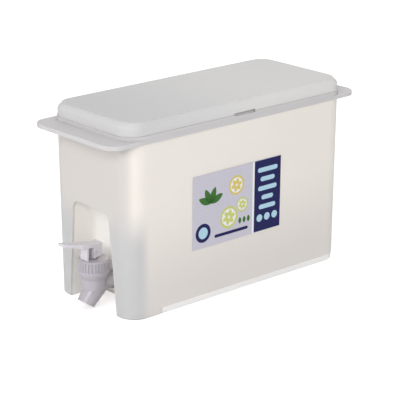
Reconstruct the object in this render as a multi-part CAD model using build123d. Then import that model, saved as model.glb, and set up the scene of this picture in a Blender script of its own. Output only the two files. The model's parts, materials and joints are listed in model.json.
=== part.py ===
from build123d import *
import math
import os

os.makedirs("parts", exist_ok=True)

# Water jug with tap. Millimetres, +Z up, the tap end faces -Y and the labelled side faces +X.
# The jug is built round its own centre line, and everything moves by origin_shift at the end,
# which puts the origin at the middle of the overall footprint, on the table.

# Tank: one thin-walled moulding
wall = 2.0                  # side walls, floor and alcove walls
draft = 0.69                # degrees that the walls lean outwards going up
rim_width = 108.8           # outside of the walls where the rim starts
rim_length = 250.4
corner_radius = 16.6        # vertical corners at the base
rim_z = 153.4               # underside of the rim
rim_height = 7.0            # rim band, from its underside to the ledge that carries the lid
rim_overhang = 0.7          # rim band outside the walls
floor_z = 8.6               # underside of the floor
floor_bevel = 3.0           # inside, between floor and walls
foot_wall = 1.8             # ring that the jug stands on behind the legs
foot_inset = 0.4
foot_height = 5.8           # where the walls step out above the foot ring
foot_bevel = 1.2
leg_length = 33.8           # the two front legs, from the base's front face backwards

# Ear tabs at both ends of the rim
tab_front = 18.9            # how far each tab reaches past the walls at the rim
tab_rear = 15.9
tab_height = 3.5            # top of a tab above the underside of the rim
tab_plate = 1.8
tab_lip = 1.6
tab_radius = 14.2

# Alcove for the tap, open to the front and below
alcove_width = 64.6         # at the table
alcove_side_slope = 0.091   # each side leans in by this much per unit of height
alcove_top = 90.9
alcove_top_radius = 8.5
alcove_depth = 22.8         # from the base's front face to the back wall
hood_radius = 33.0          # curve from the ceiling down to the back wall
hood_z = 60.6               # where the curve meets the back wall
alcove_blend = 5.0          # rounding between the back and the sides

# Finger notch at the middle of each long side, across the joint between lid and rim
notch_length = 24.4
notch_y = 2.0               # its middle from the jug's middle
notch_drop = 1.2            # how deep it goes into the rim
notch_rise = 1.6            # how high it goes into the lid's skirt
notch_depth = 1.9           # from the rim's face inwards

# Lid
lid_gap = 0.1               # between the lid's skirt and the ledge
lid_inset = 0.9             # lid's skirt inside the rim's outside
lid_corner = 18.0
lid_skirt = 1.3
lid_height = 11.3           # skirt bottom to the top panel
lid_draft = 1.0
lid_thickness = 1.5
panel_inset = 4.0           # raised top panel inside the skirt
panel_step = 0.8
panel_ledge = 0.5           # narrow flat between the panel and the shoulder
shoulder_drop = 3.4         # how far the shoulder falls from that flat to the skirt
shoulder_bevel = 0.8
rib_gap = 0.4               # lid's sealing rib inside the tank
rib_wall = 1.2
rib_height = 6.4            # how deep the rib hangs into the tank
gate_radius = 1.8
gate_depth = 0.3

# Label on the side wall
label_width = 102.5
label_height = 66.0
label_thickness = 0.2
label_y = -5.6              # middle of the label from the jug's middle
label_z = 81.7

# Tap body
tap_reach = 21.5            # tap's upright axis in front of the alcove's back wall
inlet_z = 19.7              # axis of the horizontal arm
barrel_radius = 10.7
barrel_base_z = 17.3
shoulder_z = 26.6           # top of the barrel, where its threaded neck starts
neck_radius = 9.8
neck_height = 10.0
arm_radius = 6.9
arm_flange_radius = 7.8
arm_flange = 1.6
shank_radius = 6.2
shank_clear = 0.25          # shank in the hole of the alcove's back wall
inlet_bore = 3.6
chamber_radius = 7.4
seat_z = 16.0
seat_bore = 3.9             # waterway's radius at the seat, under the plug
spout_tilt = 34.4           # degrees from upright
spout_length = 17.1
spout_root_radius = 9.6
spout_root_shift = 1.9      # the root lies this much behind the spout's axis
spout_mouth_radius = 7.7
spout_bore_mouth = 6.4
spout_spare = 0.2           # cones run past the mouth by this share before they are trimmed
spout_ground_gap = 0.45     # lowest point of the mouth above the table

# Washers and back nut
washer_thickness = 1.9
outer_washer_radius = 7.6
inner_washer_radius = 8.7
thread_clear = 0.08
nut_across_flats = 15.0
nut_height = 5.6
nut_flange_radius = 8.7
nut_flange = 1.4
shank_spare = 2.6           # thread that stands out past the nut

# Bonnet: the ribbed screw collar
bonnet_radius = 13.85
bonnet_top_z = 43.9
bonnet_bevel = 1.3          # round the top face
rib_depth = 0.8             # ribs stand this far out of the core between them
rib_count = 30
rib_foot = 2.0              # width of a rib at the core
rib_crest = 1.3             # and at its crest
rib_low_z = 34.3            # ribs end here and the plain band starts
taper_z = 31.3              # the band ends here and the taper starts
bonnet_low_radius = 10.9
bonnet_base_gap = 0.15      # above the barrel's shoulder
bonnet_clear = 0.15         # round the neck
bonnet_roof = 1.3
bonnet_spring_radius = 6.5

# Sealing bell and stem
bell_flange_radius = 9.4
bell_flange = 1.4
bell_wall = 0.9
bell_radius = 6.4
bell_plug = 4.8             # height of the solid plug at its foot
stem_radius = 3.0
stem_clear = 0.08
stem_sink = 0.1             # round part of the stem ends this far under the bonnet's top
button_radius = 4.5
button_height = 1.6
button_lift = 1.9           # underside of the button above the seat
collar_radius = 5.3
collar_height = 1.2
collar_lift = 2.0           # underside of the collar above the bell's plug
tang_width = 2.5            # across, between the lever's cheeks
tang_length = 5.8
tang_top = 3.6              # above the pin
tang_gap = 0.3              # flared foot of the tang above the bonnet
tang_flare = 1.3            # the foot reaches this much further, front and rear
tang_flare_height = 3.0

# Spring
spring_radius = 4.6         # middle of the wire
spring_wire = 0.8
spring_turns = 5.0
spring_facets = 14          # straight runs in one turn
spring_seat_gap = 0.05

# Lever and its pin
pin_z = 49.9
pin_radius = 1.5
pin_clear = 0.02            # pin in the lever
pin_running = 0.08          # pin in the stem
pin_recess = 0.6            # pin's ends inside the lever's faces
lever_width = 9.6
cheek_gap = 0.2             # each side of the tang
toe_reach = 10.3            # front of the lever's toe from the pin
toe_thickness = 1.6
toe_gap = 0.2               # above the bonnet's top face
head_rise = 5.4             # underside of the head above the pin
head_rear = 6.2             # rear face behind the pin
head_rear_rise = 8.0        # top of the head at the rear
cheek_reach = 2.9           # front face of the cheeks
cheek_drop = 5.0            # lowest edge of the cheeks below the pin
cheek_rear_drop = 2.8
lever_reach = 35.6          # tip from the pin
tip_rise = 14.1             # foremost edge of the tip above the pin
dip_reach = 17.4            # a point of the hollow-curved top surface
dip_rise = 10.6
brow_reach = 34.6           # where the top surface ends and the tip rounds off
brow_rise = 15.2
under_reach = 33.9          # where the underside ends at the tip
under_rise = 12.1
root_reach = 16.7           # where the underside meets the head
root_rise = 6.8
paddle_half = 4.1           # half widths of the paddle, at its root and at its tip
tip_half = 3.6
paddle_step = 15.6          # the head's full width ends here
tip_round = 3.2
paddle_plate = 1.6          # top plate over the hollow underside
paddle_side = 1.2

# Heights and places that follow
lean = math.tan(math.radians(draft))
base_width = rim_width - 2 * rim_z * lean
base_length = rim_length - 2 * rim_z * lean
band_width = rim_width + 2 * rim_overhang
band_length = rim_length + 2 * rim_overhang
band_corner = corner_radius + rim_z * lean + rim_overhang
ledge_z = rim_z + rim_height
front_y = -base_length / 2
back_y = front_y + alcove_depth
leg_end_y = front_y + leg_length
lid_z = ledge_z + lid_gap
lid_width = band_width - 2 * lid_inset
lid_length = band_length - 2 * lid_inset
tap_y = back_y - tap_reach
inner_wall_y = back_y + wall
nut_y = inner_wall_y + washer_thickness
neck_z = shoulder_z + neck_height
flange_z = neck_z + bell_flange
roof_z = bonnet_top_z - bonnet_roof
core_radius = bonnet_radius - rib_depth
rib_high_z = bonnet_top_z - bonnet_bevel
plug_z = seat_z + bell_plug
collar_z = plug_z + collar_lift
spout_angle = math.radians(spout_tilt)
spout_root_z = spout_ground_gap + spout_mouth_radius * math.sin(spout_angle)
spout_root_z += spout_length * math.cos(spout_angle)
mouth_y = tap_y - spout_length * math.sin(spout_angle)
mouth_z = spout_root_z - spout_length * math.cos(spout_angle)
tip_y = tap_y - lever_reach
rear_y = rim_length / 2 + tab_rear
origin_shift = -(tip_y + rear_y) / 2


def save(shape, name, color):
    """Move a finished piece into the shared frame and write its STEP file."""
    placed = Pos(0, origin_shift, 0) * shape
    placed.label = name
    placed.color = Color(*color)
    export_step(placed, f"parts/{name}.step")
    print(f"{name:14s} volume {placed.volume:10.1f}  valid {placed.is_valid}")


def block(z0, z1, inset=0.0):
    """Drafted rounded block that follows the tank's outside, drawn in by inset."""
    grow = z0 * lean - inset
    outline = RectangleRounded(
        base_width + 2 * grow, base_length + 2 * grow, corner_radius + grow
    )
    return extrude(Pos(0, 0, z0) * outline, amount=z1 - z0, taper=-draft)


def plate(width, length, radius, z0, z1, y=0.0):
    """Straight-sided rounded plate."""
    return Pos(0, y, z0) * extrude(RectangleRounded(width, length, radius), amount=z1 - z0)


def slab(x0, x1, y0, y1, z0, z1):
    """Box between two corners."""
    return Pos((x0 + x1) / 2, (y0 + y1) / 2, (z0 + z1) / 2) * Box(x1 - x0, y1 - y0, z1 - z0)


def rod(radius, z0, z1):
    """Cylinder on the tap's upright axis."""
    return Pos(0, tap_y, (z0 + z1) / 2) * Cylinder(radius, z1 - z0)


def rod_along_y(radius, y0, y1):
    """Cylinder on the axis of the tap's horizontal arm."""
    return Pos(0, (y0 + y1) / 2, inlet_z) * Rot(90, 0, 0) * Cylinder(radius, y1 - y0)


def turned(points):
    """Solid turned round the tap's upright axis from radius and height pairs."""
    return Pos(0, tap_y, 0) * revolve(Plane.XZ * Polygon(*points, align=None), axis=Axis.Z)


def window_prism(grow, top, y1):
    """The alcove's outline seen from the front, drawn out by grow and run back to y1."""
    y0 = front_y - 20
    low_z = -1.0
    top_z = top + grow
    side = grow * math.hypot(1, alcove_side_slope)
    half_low = alcove_width / 2 - low_z * alcove_side_slope + side
    half_top = alcove_width / 2 - top_z * alcove_side_slope + side
    face = Polygon(
        (-half_low, low_z), (half_low, low_z), (half_top, top_z), (-half_top, top_z), align=None
    )
    if top == alcove_top:
        face = fillet(face.vertices().group_by(Axis.Y)[-1], alcove_top_radius + grow)
    return Pos(0, y0, 0) * extrude(Plane.XZ * face, amount=-(y1 - y0))


def hood_prism(grow):
    """The alcove seen from the side: a curved ceiling that runs down into the back wall."""
    radius = hood_radius + grow
    back = back_y + grow
    centre_y = back_y - hood_radius
    front = front_y - 20
    arc_top = hood_z + radius
    mid = math.sqrt(0.5) * radius
    outline = Polyline((back, hood_z), (back, -1), (front, -1), (front, arc_top), (centre_y, arc_top))
    curve = ThreePointArc((centre_y, arc_top), (centre_y + mid, hood_z + mid), (back, hood_z))
    face = make_face(outline.edges() + curve.edges())
    return extrude(Plane.YZ * face, amount=alcove_width / 2 + 10, both=True)


def alcove(grow):
    """Air space of the alcove, drawn out by grow on every side, with rounded inner edges."""
    space = window_prism(grow, alcove_top, back_y + grow + 1) & hood_prism(grow)
    inner = space.edges().filter_by(lambda e: e.center().Y > back_y - hood_radius)
    inner = inner.filter_by(lambda e: abs(e.center().X) > alcove_width / 4 and e.center().Z > 0)
    return fillet(inner, alcove_blend + grow)


def tank():
    """Walls, alcove, floor, foot ring, legs, rim band and ear tabs, as one moulding."""
    outside = block(0, rim_z)
    outside = chamfer(outside.faces().sort_by(Axis.Z)[0].edges(), foot_bevel)
    band = plate(band_width, band_length, band_corner, rim_z, ledge_z)
    tab_length = rim_length + tab_front + tab_rear
    tab_middle = (tab_rear - tab_front) / 2
    tab_z = rim_z + tab_height
    tabs = plate(band_width, tab_length, tab_radius, rim_z, tab_z, tab_middle)
    under_tabs = plate(
        band_width - 2 * tab_lip,
        tab_length - 2 * tab_lip,
        tab_radius - tab_lip,
        rim_z - 1,
        tab_z - tab_plate,
        tab_middle,
    )
    under_tabs -= plate(band_width, band_length, band_corner, rim_z - 1, ledge_z)

    cavity = block(floor_z + wall, ledge_z + 1, wall)
    cavity = chamfer(cavity.faces().sort_by(Axis.Z)[0].edges(), floor_bevel)
    cavity -= alcove(wall)

    # Hollows under the floor: one in each leg, one behind them, and the open way between the legs
    wide = rim_width
    under_legs = block(-1, floor_z, wall) & slab(-wide, wide, -rim_length, leg_end_y - wall, -1, floor_z)
    under_legs -= window_prism(wall, alcove_top, leg_end_y)
    under_floor = block(-1, floor_z, foot_inset + foot_wall)
    under_floor &= slab(-wide, wide, leg_end_y, rim_length, -1, floor_z)
    between_legs = window_prism(0, floor_z, leg_end_y - wall)
    foot_step = slab(-wide, wide, leg_end_y, rim_length, -1, foot_height)
    foot_step -= block(-1, foot_height, foot_inset)

    body = outside + band + (tabs - under_tabs)
    body -= cavity
    body -= alcove(0)
    body -= under_legs
    body -= under_floor
    body -= between_legs
    body -= foot_step
    body -= rod_along_y(shank_radius + shank_clear, back_y - 1, inner_wall_y + 1)
    notch_x = band_width / 2 - notch_depth
    notch_y0 = notch_y - notch_length / 2
    notch_y1 = notch_y + notch_length / 2
    notch = slab(notch_x, wide, notch_y0, notch_y1, ledge_z - notch_drop, ledge_z + 1)
    return body - notch - mirror(notch, Plane.YZ)


def lid():
    """Raised panel, sloping shoulder, skirt, and a sealing rib that hangs inside the tank."""
    skirt_height = lid_height - panel_step - shoulder_drop
    skirt_in = skirt_height * math.tan(math.radians(lid_draft))
    shoulder_in = panel_inset - panel_ledge - skirt_in
    shoulder_taper = math.degrees(math.atan(shoulder_in / shoulder_drop))
    shoulder_z = lid_z + skirt_height
    top_z = lid_z + lid_height

    def outline(inset, z):
        radius = lid_corner - inset
        return Pos(0, 0, z) * RectangleRounded(lid_width - 2 * inset, lid_length - 2 * inset, radius)

    skirt = extrude(outline(0, lid_z), amount=skirt_height, taper=lid_draft)
    shoulder = extrude(outline(skirt_in, shoulder_z), amount=shoulder_drop, taper=shoulder_taper)
    panel = extrude(outline(panel_inset, top_z - panel_step), amount=panel_step)
    outside = skirt + shoulder + panel
    bend = outside.edges().filter_by(lambda e: abs(e.center().Z - shoulder_z) < 0.01)
    outside = chamfer(bend, shoulder_bevel)

    hollow_z = shoulder_z - lid_thickness / 2
    hollow_top = top_z - lid_thickness
    hollow = extrude(outline(lid_skirt, lid_z - 1), amount=hollow_z - lid_z + 1)
    hollow += extrude(outline(lid_skirt, hollow_z), amount=hollow_top - hollow_z, taper=shoulder_taper)

    rib_z = ledge_z - rib_height
    rib_inset = wall + rib_gap - rib_z * lean
    rib_radius_out = corner_radius - rib_inset
    ring = plate(
        base_width - 2 * rib_inset, base_length - 2 * rib_inset, rib_radius_out, rib_z, hollow_top
    )
    ring -= plate(
        base_width - 2 * (rib_inset + rib_wall),
        base_length - 2 * (rib_inset + rib_wall),
        rib_radius_out - rib_wall,
        rib_z - 1,
        hollow_top + 1,
    )
    below = plate(lid_width, lid_length, lid_corner, rib_z - 1, lid_z)
    piece = outside - hollow + (ring & (outside + below))

    notch_y0 = notch_y - notch_length / 2
    notch_y1 = notch_y + notch_length / 2
    notch_x = lid_width / 2 - lid_skirt - rib_gap / 2
    notch = slab(notch_x, lid_width, notch_y0, notch_y1, lid_z - 1, lid_z + notch_rise)
    piece -= notch
    piece -= mirror(notch, Plane.YZ)
    return piece - Pos(0, 0, top_z) * Cylinder(gate_radius, 2 * gate_depth)


def side_label():
    """Thin printed label that lies on the leaning side wall."""
    x = base_width / 2 + label_z * lean
    sheet = Pos(label_thickness / 2, 0, 0) * Box(label_thickness, label_width, label_height)
    return Pos(x, label_y, label_z) * Rot(0, draft, 0) * sheet


def cone_along(start, start_radius, end, end_radius):
    """Cone between two points of the tap's middle plane, given as y and z."""
    run_y = end[0] - start[0]
    run_z = end[1] - start[1]
    length = math.hypot(run_y, run_z)
    middle = (0, (start[0] + end[0]) / 2, (start[1] + end[1]) / 2)
    frame = Plane(origin=middle, x_dir=(1, 0, 0), z_dir=(0, run_y, run_z))
    return frame.location * Cone(start_radius, end_radius, length)


def past_mouth():
    """Everything beyond the plane of the spout's mouth."""
    frame = Pos(0, mouth_y, mouth_z) * Rot(180 - spout_tilt, 0, 0)
    return frame * Pos(0, 0, spout_length / 2) * Box(4 * spout_root_radius, 4 * spout_root_radius, spout_length)


def spout_form():
    """Slanted cone from a ball under the barrel, with its front edge along the spout's axis."""
    root = (
        tap_y + spout_root_shift * math.cos(spout_angle),
        spout_root_z - spout_root_shift * math.sin(spout_angle),
    )
    run_y = mouth_y - root[0]
    run_z = mouth_z - root[1]
    end = (mouth_y + run_y * spout_spare, mouth_z + run_z * spout_spare)
    end_radius = spout_mouth_radius - (spout_root_radius - spout_mouth_radius) * spout_spare
    cone = cone_along(root, spout_root_radius, end, end_radius)
    ball = Pos(0, *root) * Sphere(spout_root_radius)
    return ball + (cone - past_mouth())


def spout_bore():
    """Waterway from the seat to the mouth."""
    run_y = mouth_y - tap_y
    run_z = mouth_z - seat_z
    grow = (spout_bore_mouth - seat_bore) / math.hypot(run_y, run_z)
    rise = seat_bore / math.hypot(run_y, run_z)
    start = (tap_y - run_y * rise, seat_z - run_z * rise)
    end = (mouth_y + run_y * spout_spare, mouth_z + run_z * spout_spare)
    start_radius = seat_bore - grow * seat_bore
    end_radius = spout_bore_mouth + (spout_bore_mouth - seat_bore) * spout_spare
    return cone_along(start, start_radius, end, end_radius)


def tap_body():
    """Barrel with threaded neck, arm with flange and shank, and the tilted spout."""
    flange_y0 = back_y - washer_thickness - arm_flange
    shank_end = nut_y + nut_height + shank_spare
    body = rod(barrel_radius, barrel_base_z, shoulder_z)
    body += rod(neck_radius, shoulder_z, neck_z)
    body += rod_along_y(arm_radius, tap_y, flange_y0)
    body += rod_along_y(arm_flange_radius, flange_y0, flange_y0 + arm_flange)
    body += rod_along_y(shank_radius, flange_y0, shank_end)
    body += spout_form()
    body -= rod(chamber_radius, seat_z, neck_z + 1)
    body -= rod_along_y(inlet_bore, tap_y, shank_end + 1)
    return body - spout_bore()


def washer(radius, y0):
    """Rubber ring round the shank."""
    ring = rod_along_y(radius, y0, y0 + washer_thickness)
    return ring - rod_along_y(shank_radius + thread_clear, y0 - 1, y0 + washer_thickness + 1)


def back_nut():
    """Flanged hexagon nut on the shank, inside the tank, with one flat facing down."""
    flange = rod_along_y(nut_flange_radius, nut_y, nut_y + nut_flange)
    hexagon = extrude(RegularPolygon(nut_across_flats / 2, 6, major_radius=False), amount=nut_height)
    nut = flange + Pos(0, nut_y, inlet_z) * Rot(-90, 0, 0) * hexagon
    return nut - rod_along_y(shank_radius + thread_clear, nut_y - 1, nut_y + nut_height + 1)


def tap_bonnet():
    """Ribbed screw collar over the neck, with the hole that guides the stem."""
    low_z = shoulder_z + bonnet_base_gap
    body = turned([
        (0, low_z),
        (bonnet_low_radius, low_z),
        (bonnet_radius, taper_z),
        (bonnet_radius, rib_low_z),
        (core_radius, rib_low_z),
        (core_radius, rib_high_z),
        (bonnet_radius, rib_high_z),
        (bonnet_radius - bonnet_bevel, bonnet_top_z),
        (0, bonnet_top_z),
    ])
    section = Polygon(
        (core_radius - rib_depth, -rib_foot / 2),
        (core_radius, -rib_foot / 2),
        (bonnet_radius, -rib_crest / 2),
        (bonnet_radius, rib_crest / 2),
        (core_radius, rib_foot / 2),
        (core_radius - rib_depth, rib_foot / 2),
        align=None,
    )
    rib = Pos(0, tap_y, rib_low_z) * extrude(section, amount=rib_high_z - rib_low_z)
    axis = Axis((0, tap_y, 0), (0, 0, 1))
    body += [rib.rotate(axis, 360 * index / rib_count) for index in range(rib_count)]
    body -= rod(neck_radius + bonnet_clear, low_z - 1, flange_z)
    body -= rod(bonnet_spring_radius, shoulder_z, roof_z)
    return body - rod(stem_radius + stem_clear, shoulder_z, bonnet_top_z + 1)


def valve_plug():
    """Silicone bell: a flange held under the bonnet, a thin wall, and a plug on the seat."""
    inside = bell_radius - bell_wall
    bell = turned([
        (0, seat_z),
        (bell_radius, seat_z),
        (bell_radius, neck_z),
        (bell_flange_radius, neck_z),
        (bell_flange_radius, flange_z),
        (inside, flange_z),
        (inside, plug_z),
        (0, plug_z),
    ])
    button_z = seat_z + button_lift
    bell -= rod(button_radius, button_z, button_z + button_height)
    return bell - rod(stem_radius, button_z, plug_z + 1)


def tap_stem():
    """Stem with its foot button, spring collar and the flat tang that carries the lever."""
    button_z = seat_z + button_lift
    tang_z = bonnet_top_z + tang_gap
    half_tang = tang_length / 2
    half_foot = half_tang + tang_flare
    stem = rod(stem_radius, button_z, bonnet_top_z - stem_sink)
    stem += rod(button_radius, button_z, button_z + button_height)
    stem += rod(collar_radius, collar_z, collar_z + collar_height)
    link = rod(stem_radius, bonnet_top_z - 2 * stem_sink, tang_z + tang_gap)
    stem += link & slab(
        -tang_width / 2, tang_width / 2, tap_y - half_tang, tap_y + half_tang, collar_z, tang_z + tang_gap
    )
    face = Polygon(
        (tap_y - half_foot, tang_z),
        (tap_y - half_tang, tang_z + tang_flare_height),
        (tap_y - half_tang, pin_z + tang_top),
        (tap_y + half_tang, pin_z + tang_top),
        (tap_y + half_tang, tang_z + tang_flare_height),
        (tap_y + half_foot, tang_z),
        align=None,
    )
    face = fillet(face.vertices().group_by(Axis.Y)[-1], half_tang / 2)
    tang = extrude(Plane.YZ * face, amount=tang_width / 2, both=True)
    hole = Pos(0, tap_y, pin_z) * Rot(0, 90, 0) * Cylinder(pin_radius + pin_running, lever_width)
    return stem + tang - hole


def tap_spring():
    """Coil between the stem's collar and the bonnet's roof, bent from short straight runs."""
    low = collar_z + collar_height + spring_seat_gap + spring_wire / 2
    high = roof_z - spring_seat_gap - spring_wire / 2
    count = round(spring_turns * spring_facets)
    points = []
    for index in range(count + 1):
        angle = 2 * math.pi * index / spring_facets
        z = low + (high - low) * index / count
        points.append((spring_radius * math.cos(angle), spring_radius * math.sin(angle), z))
    path = Polyline(*points)
    section = Plane(origin=path @ 0, z_dir=path % 0) * RegularPolygon(spring_wire / 2, 6)
    return Pos(0, tap_y, 0) * sweep(section, path=path, transition=Transition.RIGHT)


def lever_point(reach, rise):
    """Point of the lever's side view, from its reach and rise seen from the pin."""
    return (tap_y - reach, pin_z + rise)


def lever_prism(points):
    """Prism across the lever's full width from reach and rise pairs."""
    face = Polygon(*[lever_point(reach, rise) for reach, rise in points], align=None)
    return extrude(Plane.YZ * face, amount=lever_width / 2, both=True)


def tap_lever():
    """Cam lever: two cheeks round the tang, a toe on the bonnet and a hollow-curved paddle."""
    toe_rise = bonnet_top_z + toe_gap - pin_z
    toe_rear = toe_reach - toe_thickness
    top = ThreePointArc(
        lever_point(-head_rear, head_rear_rise),
        lever_point(dip_reach, dip_rise),
        lever_point(brow_reach, brow_rise),
    )
    rest = Polyline(
        lever_point(brow_reach, brow_rise),
        lever_point(lever_reach, tip_rise),
        lever_point(under_reach, under_rise),
        lever_point(root_reach, root_rise),
        lever_point(toe_reach, head_rise),
        lever_point(-head_rear, head_rise),
        lever_point(-head_rear, head_rear_rise),
    )
    side = make_face(top.edges() + rest.edges())
    plate_body = extrude(Plane.YZ * side, amount=lever_width / 2, both=True)
    half = lever_width / 2
    step_end = paddle_step + half - paddle_half
    plan = Polygon(
        (-half, tap_y + head_rear),
        (-half, tap_y - paddle_step),
        (-paddle_half, tap_y - step_end),
        (-tip_half, tip_y),
        (tip_half, tip_y),
        (paddle_half, tap_y - step_end),
        (half, tap_y - paddle_step),
        (half, tap_y + head_rear),
        align=None,
    )
    plan = fillet(plan.vertices().group_by(Axis.Y)[0], tip_round)
    plate_body &= Pos(0, 0, pin_z) * extrude(plan, amount=brow_rise + 1)
    half_hollow = tip_half - paddle_side
    hollow = Pos(0, 0, -paddle_plate) * plate_body
    hollow &= slab(
        -half_hollow, half_hollow, tip_y + tip_round, tap_y - root_reach, pin_z, pin_z + brow_rise
    )
    toe = lever_prism([
        (toe_reach, toe_rise),
        (toe_reach, head_rise + 0.5),
        (toe_rear, head_rise + 0.5),
        (toe_rear, toe_rise),
    ])
    cheeks = lever_prism([
        (cheek_reach, -cheek_drop),
        (cheek_reach, head_rise + 0.5),
        (-head_rear, head_rise + 0.5),
        (-head_rear, -cheek_rear_drop),
    ])
    slot = slab(
        -tang_width / 2 - cheek_gap,
        tang_width / 2 + cheek_gap,
        tap_y - cheek_reach - 1,
        tap_y + head_rear + 1,
        bonnet_top_z,
        pin_z + head_rise,
    )
    hole = Pos(0, tap_y, pin_z) * Rot(0, 90, 0) * Cylinder(pin_radius + pin_clear, 2 * lever_width)
    return plate_body - hollow + toe + (cheeks - slot) - hole


def lever_pin():
    """Pin through the lever's cheeks and the tang."""
    length = lever_width - 2 * pin_recess
    return Pos(0, tap_y, pin_z) * Rot(0, 90, 0) * Cylinder(pin_radius, length)


save(tank(), "tank", (0.90, 0.89, 0.87, 0.6))
save(lid(), "lid", (0.84, 0.84, 0.85, 0.7))
save(side_label(), "side_label", (0.78, 0.78, 0.82))
save(tap_body(), "tap_body", (0.86, 0.85, 0.87))
save(washer(outer_washer_radius, back_y - washer_thickness), "outer_washer", (0.15, 0.15, 0.15))
save(washer(inner_washer_radius, inner_wall_y), "inner_washer", (0.15, 0.15, 0.15))
save(back_nut(), "back_nut", (0.86, 0.85, 0.87))
save(tap_bonnet(), "tap_bonnet", (0.86, 0.85, 0.87))
save(valve_plug(), "valve_plug", (0.90, 0.90, 0.90))
save(tap_stem(), "tap_stem", (0.86, 0.85, 0.87))
save(tap_spring(), "tap_spring", (0.70, 0.70, 0.72))
save(tap_lever(), "tap_lever", (0.86, 0.85, 0.87))
save(lever_pin(), "lever_pin", (0.86, 0.85, 0.87))
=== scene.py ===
import bpy
import bmesh
import json
import math
import numpy as np
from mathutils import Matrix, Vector

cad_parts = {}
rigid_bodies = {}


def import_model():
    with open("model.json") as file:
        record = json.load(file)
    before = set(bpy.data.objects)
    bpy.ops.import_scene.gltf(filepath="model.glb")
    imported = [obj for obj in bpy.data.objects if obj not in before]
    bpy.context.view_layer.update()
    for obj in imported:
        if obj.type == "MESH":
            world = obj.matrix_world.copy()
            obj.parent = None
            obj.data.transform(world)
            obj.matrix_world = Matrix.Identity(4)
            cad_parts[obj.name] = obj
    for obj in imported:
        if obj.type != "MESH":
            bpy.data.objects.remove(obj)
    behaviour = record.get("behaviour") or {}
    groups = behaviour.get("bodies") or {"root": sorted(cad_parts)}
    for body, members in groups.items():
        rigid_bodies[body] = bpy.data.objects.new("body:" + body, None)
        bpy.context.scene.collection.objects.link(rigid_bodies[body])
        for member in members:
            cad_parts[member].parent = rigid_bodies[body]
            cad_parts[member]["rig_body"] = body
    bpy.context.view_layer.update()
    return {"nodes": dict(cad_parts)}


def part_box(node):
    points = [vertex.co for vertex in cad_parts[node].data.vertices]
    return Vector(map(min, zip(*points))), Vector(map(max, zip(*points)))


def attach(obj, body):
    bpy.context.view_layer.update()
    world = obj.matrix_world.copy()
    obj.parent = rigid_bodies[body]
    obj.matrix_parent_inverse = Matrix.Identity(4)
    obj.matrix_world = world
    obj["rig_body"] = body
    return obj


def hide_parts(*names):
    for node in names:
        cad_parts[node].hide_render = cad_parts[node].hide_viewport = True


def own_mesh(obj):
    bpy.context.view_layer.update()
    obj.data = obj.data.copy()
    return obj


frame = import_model()
scene = bpy.context.scene
nodes = frame["nodes"]
print("frame loaded", sorted(nodes))

# camera at the photograph's angle: turn and rise in degrees, distance and target in metres
view = {
    "turn": 48.745,
    "rise": 18.219,
    "distance": 1.4749,
    "lens": 148.80,
    "sensor": 36.0,
    "target": (0.00046, 0.006415, 0.06971),
    "clip": (0.01, 50.0),
}


def placeCamera(view):
    turn = math.radians(view["turn"])
    rise = math.radians(view["rise"])
    back = Vector((math.sin(turn) * math.cos(rise), -math.cos(turn) * math.cos(rise), math.sin(rise)))
    data = bpy.data.cameras.new("camera")
    data.sensor_width = view["sensor"]
    data.lens = view["lens"]
    data.clip_start, data.clip_end = view["clip"]
    camera = bpy.data.objects.new("camera", data)
    camera.location = Vector(view["target"]) + back * view["distance"]
    camera.rotation_euler = (-back).to_track_quat("-Z", "Y").to_euler()
    scene.collection.objects.link(camera)
    scene.camera = camera


placeCamera(view)
print("camera placed")


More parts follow.
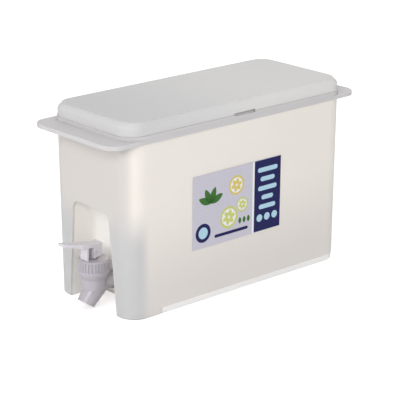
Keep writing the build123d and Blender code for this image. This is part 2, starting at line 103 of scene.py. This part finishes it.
# materials
class Nodes:
    # short hand for one material's node tree
    def __init__(self, name):
        self.material = bpy.data.materials.new(name)
        self.material.use_nodes = True
        self.tree = self.material.node_tree
        self.tree.nodes.clear()
        self.output = self.add("ShaderNodeOutputMaterial")
        self.shader = self.add("ShaderNodeBsdfPrincipled")
        self.link(self.shader.outputs[0], self.output.inputs["Surface"])
        self.place = self.add("ShaderNodeTexCoord").outputs["Object"]

    def add(self, kind, **settings):
        node = self.tree.nodes.new(kind)
        for key, value in settings.items():
            setattr(node, key, value)
        return node

    def link(self, source, target):
        self.tree.links.new(source, target)

    def noise(self, scale, detail=3.0):
        node = self.add("ShaderNodeTexNoise")
        node.inputs["Scale"].default_value = scale
        node.inputs["Detail"].default_value = detail
        self.link(self.place, node.inputs["Vector"])
        return node.outputs["Fac"]

    def ramp(self, value, stops):
        node = self.add("ShaderNodeValToRGB")
        ramp = node.color_ramp
        while len(ramp.elements) > 1:
            ramp.elements.remove(ramp.elements[-1])
        ramp.elements[0].position = stops[0][0]
        ramp.elements[0].color = (*stops[0][1], 1)
        for spot, colour in stops[1:]:
            ramp.elements.new(spot).color = (*colour, 1)
        self.link(value, node.inputs["Fac"])
        return node.outputs["Color"]

    def bump(self, height, strength, distance=0.0001):
        node = self.add("ShaderNodeBump")
        node.inputs["Strength"].default_value = strength
        node.inputs["Distance"].default_value = distance
        self.link(height, node.inputs["Height"])
        self.link(node.outputs["Normal"], self.shader.inputs["Normal"])

    def axis(self, name):
        split = self.add("ShaderNodeSeparateXYZ")
        self.link(self.place, split.inputs[0])
        return split.outputs[name]

    def compute(self, operation, *values):
        # numbers go into the node's own sockets, and the rest are links
        node = self.add("ShaderNodeMath", operation=operation)
        for socket, value in zip(node.inputs, values):
            if isinstance(value, (int, float)):
                socket.default_value = value
            else:
                self.link(value, socket)
        return node.outputs[0]

    def fade(self, value, ends):
        # soft step: 0 up to the first place and 1 from the second, which may be the lower one
        step = self.add("ShaderNodeMapRange", interpolation_type="SMOOTHSTEP")
        step.inputs["From Min"].default_value = ends[0]
        step.inputs["From Max"].default_value = ends[1]
        self.link(value, step.inputs["Value"])
        return step.outputs["Result"]

    def together(self, *shares):
        # full only where every share is
        product = shares[0]
        for share in shares[1:]:
            product = self.compute("MULTIPLY", product, share)
        return product

    def over(self, share, colour):
        # colour laid over the base colour by a share
        socket = self.shader.inputs["Base Color"]
        mix = self.add("ShaderNodeMix", data_type="RGBA")
        under, laid, result = mix.inputs[6], mix.inputs[7], mix.outputs[2]    # the node's colour sockets
        self.link(share, mix.inputs["Factor"])
        self.link(socket.links[0].from_socket, under)
        laid.default_value = (*linear(colour), 1)
        self.link(result, socket)


def linear(rgb):
    # a colour as it shows, from 0 to 255, as the light that it stands for
    values = [c / 255 for c in rgb]
    return tuple(c / 12.92 if c <= 0.04045 else ((c + 0.055) / 1.055) ** 2.4 for c in values)


# each finish: its colour as it should show, how far the colour drifts, and the shader's values;
# milky is the share of light that scatters inside the wall, and depth how far it gets in metres
finishLooks = {
    "tank": {
        "colour": (243, 235, 227),
        "drift": 0.01,
        "rough": 0.42,
        "ior": 1.40,
        "milky": 0.6,
        "depth": 0.004,
    },
    "lid": {
        "colour": (220, 219, 218),
        "drift": 0.01,
        "rough": 0.62,
        "ior": 1.35,
        "milky": 0.3,
        "depth": 0.002,
    },
    # painted shade: the tap's body, bonnet, stem and back nut are the lever's plastic painted darker,
    # for the shade inside the thick hollow body
    "tap": {
        "colour": (186, 182, 190),
        "drift": 0.01,
        "rough": 0.24,
        "ior": 1.45,
        "milky": 0.3,
        "depth": 0.002,
    },
    "lever": {
        "colour": (216, 213, 220),
        "drift": 0.01,
        "rough": 0.24,
        "ior": 1.45,
        "milky": 0.3,
        "depth": 0.002,
    },
    "rubber": {"colour": (34, 34, 36), "drift": 0.10, "rough": 0.60, "ior": 1.45},
    "silicone": {"colour": (226, 226, 222), "drift": 0.02, "rough": 0.45, "ior": 1.45},
    "steel": {"colour": (170, 170, 176), "drift": 0.05, "rough": 0.30, "ior": 1.45, "metal": 1.0},
}
moulding = {
    "driftScale": 18.0,      # slow drift of the colour over a piece
    "driftStops": (0.3, 0.7),
    "grainScale": 900.0,     # fine grain of the mould
    "grainDetail": 2.0,
    "grainStrength": 0.08,
}


def moulded(name):
    # moulded plastic: a slow drift of colour, and a fine moulded grain in the height
    look = finishLooks[name]
    n = Nodes(name + "Finish")
    colour = linear(look["colour"])
    darker = tuple(c * (1 - look["drift"]) for c in colour)
    low, high = moulding["driftStops"]
    drift = n.ramp(n.noise(moulding["driftScale"]), [(low, darker), (high, colour)])
    n.link(drift, n.shader.inputs["Base Color"])
    n.shader.inputs["Roughness"].default_value = look["rough"]
    n.shader.inputs["IOR"].default_value = look["ior"]
    n.shader.inputs["Metallic"].default_value = look.get("metal", 0.0)
    n.shader.inputs["Subsurface Weight"].default_value = look.get("milky", 0.0)
    n.shader.inputs["Subsurface Radius"].default_value = (1.0, 1.0, 1.0)
    n.shader.inputs["Subsurface Scale"].default_value = look.get("depth", 0.0)
    n.bump(n.noise(moulding["grainScale"], moulding["grainDetail"]), moulding["grainStrength"])
    return n


# painted shade and painted light on the tank's milky wall, where its colour is painted darker or lighter
# for the light through the wall, and the greyer rim band; each pair of places in metres says where a
# colour begins and where it is full
tankLook = {
    # painted shade: the lower wall is painted darker towards the table
    "lowWallPaintedShade": (222, 217, 213),
    "lowWallPaintedShadeUp": (0.105, 0.012),
    # painted shade: the front face at the tap end is painted darker
    "front": (213, 208, 204),
    "frontAlong": (-0.1080, -0.1155),
    # painted shade: the low front corners beside the alcove, the legs, are painted grey
    "leg": (199, 199, 200),
    "legAlong": (-0.094, -0.106),
    "legUp": (0.100, 0.060),
    # painted light: inside the alcove the wall is painted near white, so the shaded recess shows as
    # bright as the outer walls
    "alcove": (255, 250, 243),
    "alcoveAcross": (0.0338, 0.0330),    # half its width, at the table
    "alcoveLean": 0.091,                 # how much each side leans in per unit of height
    "alcoveFront": (-0.1149, -0.1125),
    "alcoveBack": (-0.0910, -0.0916),
    "alcoveUp": (0.0922, 0.0914),
    # painted light: the foot ring behind the front skirt is painted near white, for light that shows
    # through it
    "foot": (255, 253, 250),
    "footUp": (0.0059, 0.0055),
    "footAlong": (-0.0817, -0.0813),
    "rim": (202, 200, 201),
    "rimUp": (0.1530, 0.1533),
}


def tankPlastic(look):
    n = moulded("tank")
    across, along, up = (n.axis(name) for name in "XYZ")
    # painted shade on the lower wall
    n.over(n.fade(up, look["lowWallPaintedShadeUp"]), look["lowWallPaintedShade"])
    # painted shade on the front face
    n.over(n.fade(along, look["frontAlong"]), look["front"])
    # painted shade on the legs
    n.over(n.together(n.fade(along, look["legAlong"]), n.fade(up, look["legUp"])), look["leg"])
    # painted light in the alcove
    lean = n.compute("MULTIPLY", up, look["alcoveLean"])
    fromMiddle = n.compute("ADD", n.compute("ABSOLUTE", across), lean)
    alcove = n.together(
        n.fade(fromMiddle, look["alcoveAcross"]),
        n.fade(along, look["alcoveFront"]),
        n.fade(along, look["alcoveBack"]),
        n.fade(up, look["alcoveUp"]),
    )
    n.over(alcove, look["alcove"])
    # painted light on the foot ring
    n.over(n.together(n.fade(up, look["footUp"]), n.fade(along, look["footAlong"])), look["foot"])
    n.over(n.fade(up, look["rimUp"]), look["rim"])
    return n.material


# painted shade: the lid's colour is painted a little darker towards the tap end, standing in for a sheen
# that lights its far end more
lidPaintedShade = {
    "front": (206, 205, 206),
    "frontAlong": (0.06, -0.12),
}


def lidPlastic(look):
    n = moulded("lid")
    # painted shade towards the tap end
    n.over(n.fade(n.axis("Y"), look["frontAlong"]), look["front"])
    return n.material


finishes = {name: moulded(name).material for name in ("tap", "lever", "rubber", "silicone", "steel")}
finishes["tank"] = tankPlastic(tankLook)
finishes["lid"] = lidPlastic(lidPaintedShade)


# copies of CAD pieces with merged corners, smooth faces and a small rounding on the edges
dressing = {
    "merge": 1e-6,
    "shortest": 1e-7,
    "sharp": 35.0,        # edges that turn by more, in degrees, stay sharp and are rounded
    "rounding": 0.0002,
    "wideRounding": 0.00025,
    "fineRounding": 0.0001,
    "segments": 2,
}


def dressed(node, finish, rounding=dressing["rounding"], sharp=dressing["sharp"]):
    source = nodes[node]
    mesh = source.data.copy()
    shape = bmesh.new()
    shape.from_mesh(mesh)
    bmesh.ops.remove_doubles(shape, verts=shape.verts, dist=dressing["merge"])
    bmesh.ops.dissolve_degenerate(shape, edges=shape.edges, dist=dressing["shortest"])
    limit = math.radians(sharp)
    for edge in shape.edges:
        edge.smooth = len(edge.link_faces) == 2 and edge.calc_face_angle(0.0) < limit
    for face in shape.faces:
        face.smooth = True
    shape.to_mesh(mesh)
    shape.free()
    mesh.materials.clear()
    mesh.materials.append(finishes[finish])
    piece = bpy.data.objects.new(node + "_shape", mesh)
    scene.collection.objects.link(piece)
    if rounding:
        bevel = piece.modifiers.new("rounding", "BEVEL")
        bevel.limit_method = "ANGLE"
        bevel.angle_limit = limit
        bevel.width = rounding
        bevel.segments = dressing["segments"]
        bevel.harden_normals = True
    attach(piece, source["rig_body"])
    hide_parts(node)
    return piece


def paint(node, material):
    # a CAD piece that stays as it is gets its material
    data = nodes[node].data
    data.materials.clear()
    data.materials.append(material)


dressed("tank", "tank", rounding=dressing["wideRounding"])
dressed("lid", "lid", rounding=dressing["wideRounding"])
dressed("tap_body", "tap")
dressed("tap_bonnet", "tap")
dressed("tap_lever", "lever")
dressed("tap_stem", "tap", rounding=dressing["fineRounding"])
dressed("back_nut", "tap")
paint("lever_pin", finishes["lever"])
paint("outer_washer", finishes["rubber"])
paint("inner_washer", finishes["rubber"])
paint("valve_plug", finishes["silicone"])
print("pieces dressed")

# the coil, which in the tap gets shorter from below as the lever lifts the stem, is a dressed copy of
# the spring with a mesh of its own
coil = {"sharp": 65.0, "joint": "lever_press"}


def squeezeCoil(coil):
    piece = dressed("tap_spring", "steel", rounding=0.0, sharp=coil["sharp"])
    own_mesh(piece)


squeezeCoil(coil)
print("coil set")

# printed label: a thin sheet on the leaning side wall, with fields and simple shapes printed on it;
# places are in metres along the sheet from its front end and up from its lower edge
label = {
    "lean": 0.69,              # degrees that the wall leans
    "fullness": 0.8,           # the lower, the blunter a petal's ends
    "ink": 0.00004,            # thickness of one printed layer
    "sunk": 0.00002,           # how deep a print starts below the sheet's face
    "gapStart": 0.0690,
    "panelStart": 0.0712,
    "panelMargin": 0.0004,
    "barTop": 0.0565,
    "barStep": 0.0085,
    "barHeight": 0.0042,
    "barHalves": (0.0118, 0.0085, 0.0112, 0.0070, 0.0100),
    "dots": 3,
    "dotStep": 0.009,
    "dotUp": 0.0125,
    "dotRadius": 0.0034,
    "sprigFoot": (0.0205, 0.0385),
    "sprigTurns": (25, 70, 115, 155),
    "sprigLeaf": (0.0150, 0.0062),
    "fruits": (
        (0.0500, 0.0490, 0.0088, "sun"),
        (0.0415, 0.0215, 0.0100, "lime"),
        (0.0570, 0.0300, 0.0066, "lime"),
    ),
    "slices": 6,
    "firstSlice": 15,          # degrees
    "heart": 0.78,             # the pale inside and the slices, as shares of a fruit's radius
    "sliceFoot": 0.10,
    "sliceLength": 0.62,
    "sliceWidth": 0.40,
    "discPlace": (0.0120, 0.0135),
    "discRadius": 0.0085,
    "discHeart": 0.0052,
    "lineEnds": (0.0250, 0.0640),
    "lineUp": 0.0075,
    "lineHeight": 0.0028,
    "drops": 3,
    "dropPlace": (0.0545, 0.0125),
    "dropStep": 0.0050,
    "drop": (0.0062, 0.0034),
}
inkColours = {
    "paper": (200, 198, 210),
    "gap": (236, 235, 240),
    "navy": (31, 33, 86),
    "pale": (176, 211, 229),
    "leaf": (62, 112, 50),
    "lime": (200, 205, 120),
    "sun": (214, 196, 112),
}
inkLook = {
    "drift": 0.05,
    "stops": (0.35, 0.65),
    "screen": 700.0,           # faint screen of the print
    "uneven": 300.0,           # slight waves of the film
    "detail": 2.0,
    "strength": 0.05,
    "rough": 0.5,
    "gloss": 0.15,
}
sheetLow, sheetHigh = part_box("side_label")


def inkMaterial(name, look):
    # printed film: a faint screen in the colour and a slight unevenness
    n = Nodes("ink" + name.capitalize())
    colour = linear(inkColours[name])
    darker = tuple(c * (1 - look["drift"]) for c in colour)
    low, high = look["stops"]
    screen = n.ramp(n.noise(look["screen"], look["detail"]), [(low, darker), (high, colour)])
    n.link(screen, n.shader.inputs["Base Color"])
    n.shader.inputs["Roughness"].default_value = look["rough"]
    n.shader.inputs["Specular IOR Level"].default_value = look["gloss"]
    n.bump(n.noise(look["uneven"], look["detail"]), look["strength"])
    return n.material


inks = {name: inkMaterial(name, inkLook) for name in inkColours}


def onSheet(outline, lift):
    # points of the leaning sheet: the sheet's face is furthest out at its top; lift is outwards
    lean = math.radians(label["lean"])
    x = sheetHigh[0] - (sheetHigh[2] - sheetLow[2] - outline[:, 1]) * math.sin(lean) + lift
    return np.column_stack([x, sheetLow[1] + outline[:, 0], sheetLow[2] + outline[:, 1]])


def printed(name, outline, ink, layer):
    # closed flat prism: the outline on the sheet, up to the top of its layer of ink
    count = len(outline)
    points = np.vstack([onSheet(outline, -label["sunk"]), onSheet(outline, label["ink"] * layer)])
    ring = np.arange(count)
    following = np.roll(ring, -1)
    sides = np.column_stack([ring, following, following + count, ring + count])
    faces = [ring[::-1].tolist(), (ring + count).tolist()] + sides.tolist()
    mesh = bpy.data.meshes.new(name)
    mesh.from_pydata(points.tolist(), [], faces)
    mesh.materials.append(inks[ink])
    piece = bpy.data.objects.new(name, mesh)
    scene.collection.objects.link(piece)
    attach(piece, "jug")


def rectangle(start, end, low, high):
    return np.array([(start, low), (end, low), (end, high), (start, high)])


def disc(along, up, radius, count=48):
    # circle
    turn = np.linspace(0, 2 * np.pi, count, endpoint=False)
    return np.column_stack([along + radius * np.cos(turn), up + radius * np.sin(turn)])


def petal(along, up, length, width, degrees, count=18):
    # pointed oval: both sides are half waves along its length, turned about its foot
    turn = np.radians(degrees)
    t = np.linspace(0, 1, count + 1)
    side = width / 2 * np.sin(np.pi * t) ** label["fullness"]
    x = length * np.concatenate([t, t[-2:0:-1]])
    y = np.concatenate([side, -side[-2:0:-1]])
    return np.column_stack([
        along + x * np.cos(turn) - y * np.sin(turn),
        up + x * np.sin(turn) + y * np.cos(turn),
    ])


def bar(start, end, up, height, count=8):
    # straight bar with half circles for ends
    radius = height / 2
    turn = np.linspace(-np.pi / 2, np.pi / 2, count + 1)
    right = np.column_stack([end - radius + radius * np.cos(turn), up + radius * np.sin(turn)])
    left = np.column_stack([start + radius - radius * np.cos(turn), up - radius * np.sin(turn)])
    return np.vstack([right, left])


def printPanel(label, width, height):
    # navy panel with bars and dots, and the pale gap beside it
    margin = label["panelMargin"]
    printed("labelGap", rectangle(label["gapStart"], label["panelStart"], 0, height), "gap", 1)
    printed("labelPanel", rectangle(label["panelStart"], width, margin, height - margin), "navy", 1)
    middle = (label["panelStart"] + width) / 2
    for row, half in enumerate(label["barHalves"]):
        up = label["barTop"] - row * label["barStep"]
        printed(f"panelBar{row}", bar(middle - half, middle + half, up, label["barHeight"]), "pale", 2)
    for i in range(label["dots"]):
        along = middle + (i - (label["dots"] - 1) / 2) * label["dotStep"]
        printed(f"panelDot{i}", disc(along, label["dotUp"], label["dotRadius"]), "pale", 2)


def printFruit(i, along, up, radius, ink):
    # peel, pale inside and a ring of slices
    printed(f"fruit{i}", disc(along, up, radius), ink, 2)
    printed(f"fruitHeart{i}", disc(along, up, radius * label["heart"]), "gap", 3)
    for j in range(label["slices"]):
        degrees = 360 / label["slices"] * j + label["firstSlice"]
        foot = radius * label["sliceFoot"]
        footAlong = along + foot * math.cos(math.radians(degrees))
        footUp = up + foot * math.sin(math.radians(degrees))
        length = radius * label["sliceLength"]
        width = radius * label["sliceWidth"]
        printed(f"fruit{i}Slice{j}", petal(footAlong, footUp, length, width, degrees), ink, 4)


def printField(label):
    # sprig of leaves, three round fruits, three drops, a disc and a line on the grey field
    for i, degrees in enumerate(label["sprigTurns"]):
        printed(f"sprigLeaf{i}", petal(*label["sprigFoot"], *label["sprigLeaf"], degrees), "leaf", 2)
    for i, fruit in enumerate(label["fruits"]):
        printFruit(i, *fruit)
    printed("fieldDisc", disc(*label["discPlace"], label["discRadius"]), "navy", 2)
    printed("fieldDiscHeart", disc(*label["discPlace"], label["discHeart"]), "pale", 3)
    printed("fieldLine", bar(*label["lineEnds"], label["lineUp"], label["lineHeight"]), "navy", 2)
    along, up = label["dropPlace"]
    for i in range(label["drops"]):
        printed(f"fieldDrop{i}", petal(along + i * label["dropStep"], up, *label["drop"], 90), "leaf", 2)


paint("side_label", inks["paper"])
printPanel(label, sheetHigh[1] - sheetLow[1], sheetHigh[2] - sheetLow[2])
printField(label)
print("label printed")

# floor, backdrop and lamps; the floor's colour is given as light, from 0 to 1
studio = {
    "floorHalf": 8.0,
    "floorDrop": 0.0002,
    "floorColour": (0.90, 0.90, 0.90),
    "floorRough": 0.9,
    "floorLift": 0.5,     # added for the camera only, so the ground shows white
    "skyStrength": 0.45,
}
lamps = {
    "overhead": {"place": (0.1, 0.1, 1.6), "aim": (0, 0, 0.1), "size": (1.4, 1.4), "power": 4.5},
    "keyBox": {"place": (0.93, -1.33, 0.98), "aim": (0, 0, 0.07), "size": (0.8, 0.6), "power": 12.5},
    "frontBox": {"place": (-0.30, -1.65, 0.30), "aim": (0, 0, 0.07), "size": (0.9, 0.9), "power": 6.5},
    "rightBox": {"place": (1.7, 0.35, 0.45), "aim": (0, 0, 0.08), "size": (0.9, 0.9), "power": 4.5},
    "backBox": {"place": (-1.1, 1.2, 1.1), "aim": (0, 0, 0.07), "size": (0.9, 0.9), "power": 3.5},
}


def seenByCamera(tree):
    # 1 for rays from the camera and rays that pass through glass
    path = tree.nodes.new("ShaderNodeLightPath")
    seen = tree.nodes.new("ShaderNodeMath")
    seen.operation = "MAXIMUM"
    tree.links.new(path.outputs["Is Camera Ray"], seen.inputs[0])
    tree.links.new(path.outputs["Is Transmission Ray"], seen.inputs[1])
    return seen.outputs[0]


def makeFloor(studio):
    half = studio["floorHalf"]
    corners = [(-half, -half, 0), (half, -half, 0), (half, half, 0), (-half, half, 0)]
    mesh = bpy.data.meshes.new("floor")
    mesh.from_pydata(corners, [], [(0, 1, 2, 3)])
    floor = bpy.data.objects.new("floor", mesh)
    floor.location = (0, 0, -studio["floorDrop"])
    scene.collection.objects.link(floor)
    n = Nodes("floorPaint")
    n.shader.inputs["Base Color"].default_value = (*studio["floorColour"], 1)
    n.shader.inputs["Roughness"].default_value = studio["floorRough"]
    n.shader.inputs["Specular IOR Level"].default_value = 0.0
    glow = n.add("ShaderNodeEmission")
    lift = n.compute("MULTIPLY", seenByCamera(n.tree), studio["floorLift"])
    n.link(lift, glow.inputs["Strength"])
    both = n.add("ShaderNodeAddShader")
    n.link(n.shader.outputs[0], both.inputs[0])
    n.link(glow.outputs[0], both.inputs[1])
    n.link(both.outputs[0], n.output.inputs["Surface"])
    mesh.materials.append(n.material)


def makeSky(studio):
    world = bpy.data.worlds.new("studio")
    scene.world = world
    world.use_nodes = True
    tree = world.node_tree
    tree.nodes.clear()
    out = tree.nodes.new("ShaderNodeOutputWorld")
    sky = tree.nodes.new("ShaderNodeBackground")
    sky.inputs["Color"].default_value = (1, 1, 1, 1)
    level = tree.nodes.new("ShaderNodeMapRange")
    level.inputs["To Min"].default_value = studio["skyStrength"]
    level.inputs["To Max"].default_value = 1.0
    tree.links.new(seenByCamera(tree), level.inputs["Value"])
    tree.links.new(level.outputs["Result"], sky.inputs["Strength"])
    tree.links.new(sky.outputs[0], out.inputs["Surface"])


def softBox(name, place, aim, size, power):
    data = bpy.data.lights.new(name, "AREA")
    data.shape = "RECTANGLE"
    data.size, data.size_y = size
    data.energy = power
    lamp = bpy.data.objects.new(name, data)
    lamp.location = place
    lamp.rotation_euler = (Vector(aim) - Vector(place)).to_track_quat("-Z", "Y").to_euler()
    scene.collection.objects.link(lamp)


makeFloor(studio)
makeSky(studio)
for name, lamp in lamps.items():
    softBox(name, **lamp)
scene.view_settings.view_transform = "Standard"
print("studio set")
